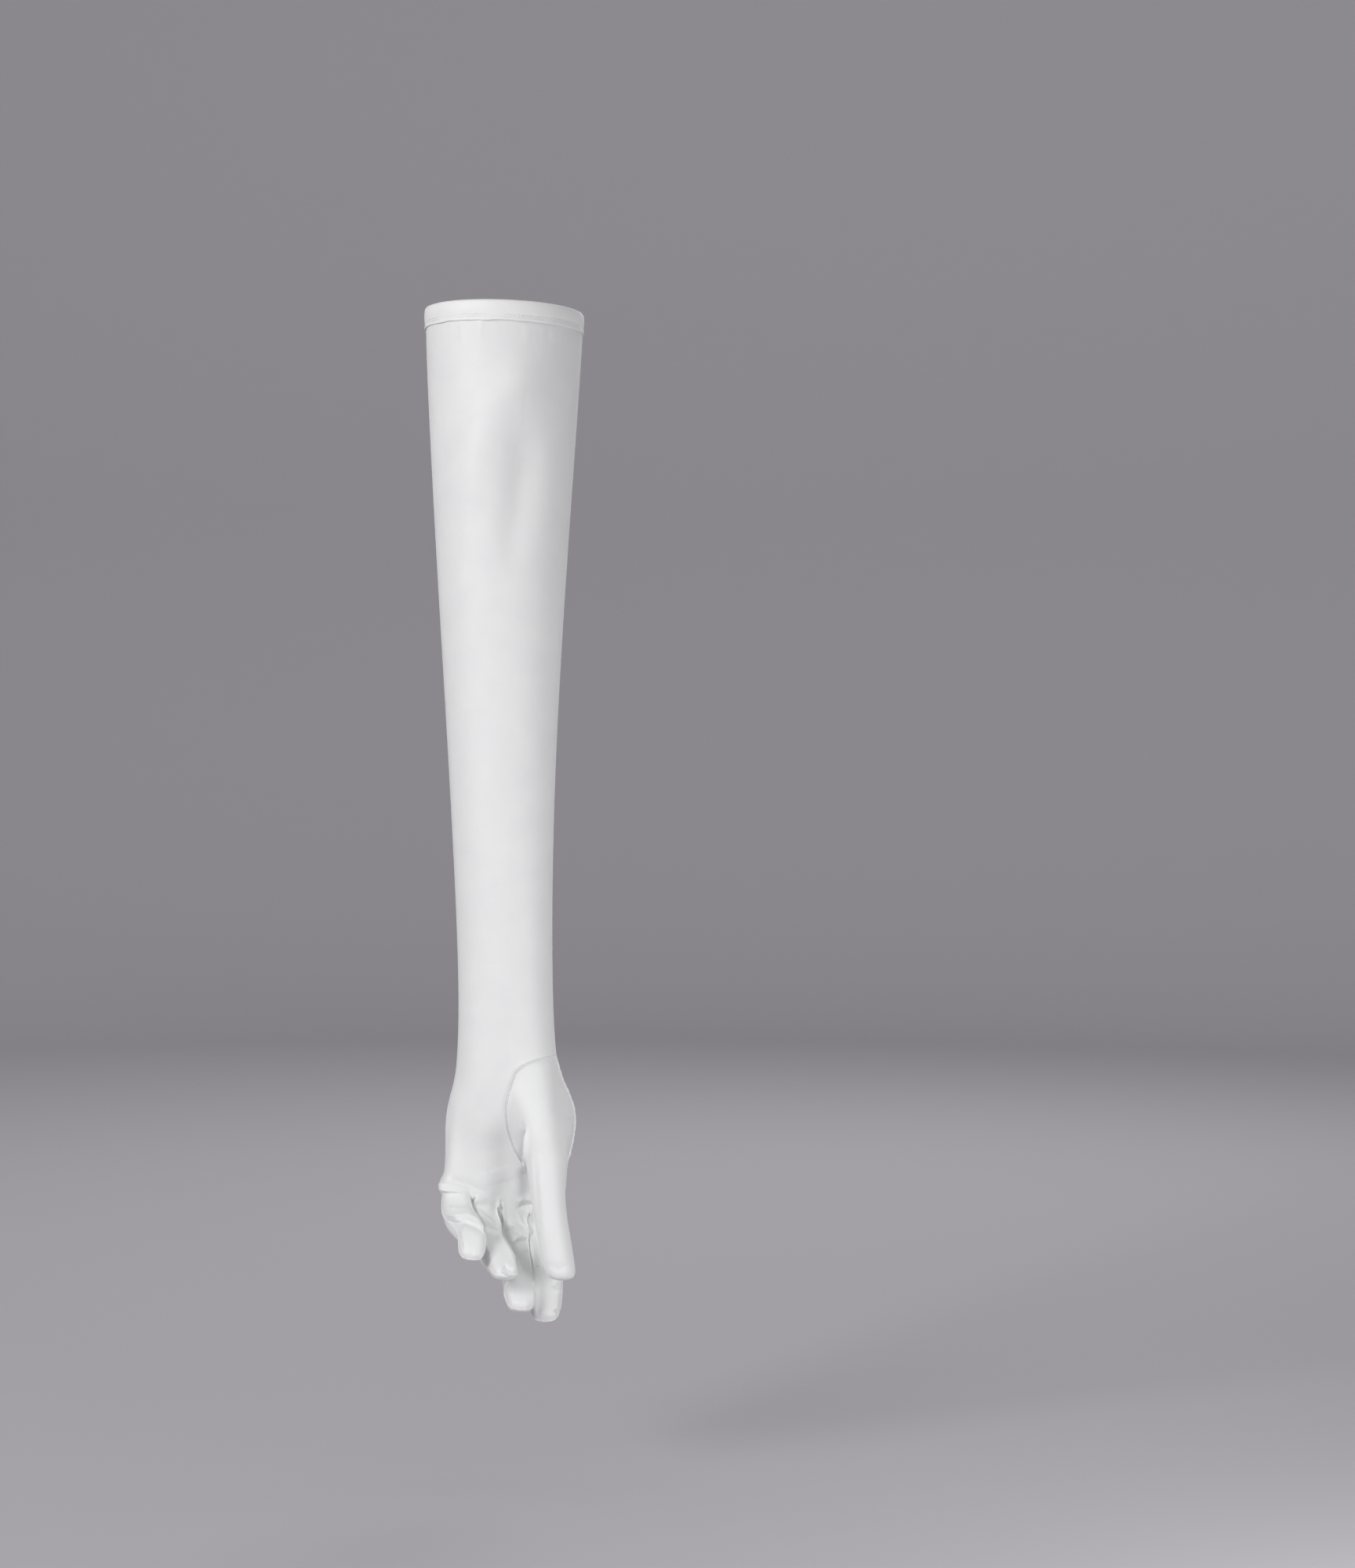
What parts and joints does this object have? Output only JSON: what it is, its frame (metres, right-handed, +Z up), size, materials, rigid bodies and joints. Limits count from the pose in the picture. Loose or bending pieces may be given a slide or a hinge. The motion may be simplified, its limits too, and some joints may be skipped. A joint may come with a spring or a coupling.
{
  "type": "satin opera glove",
  "caption": "Left-hand opera glove in stretch satin, worn form, palm forward and fingers curled, with a hemmed arm opening and a set-in thumb.",
  "frame": {"origin": "centre of the arm opening, in the plane of the sleeve's top edge", "axes": "+Z up out of the arm opening, along the sleeve, so the fingers point to -Z; the palm faces -Y; the thumb is on the +X side"},
  "size_m": [0.0922, 0.0966, 0.5731],
  "materials": {
    "satin": "white stretch satin with a soft sheen",
    "hem": "white stretch satin, folded double and stitched"
  },
  "bodies": {
    "root": {"sleeve_back": "satin", "hand_back": "satin", "sleeve_palm": "satin", "hand_palm": "satin", "thumb_panel": "satin", "fourchette_index_middle": "satin", "fourchette_middle_ring": "satin", "fourchette_ring_little": "satin", "cuff_hem": "hem"}
  },
  "joints": []
}
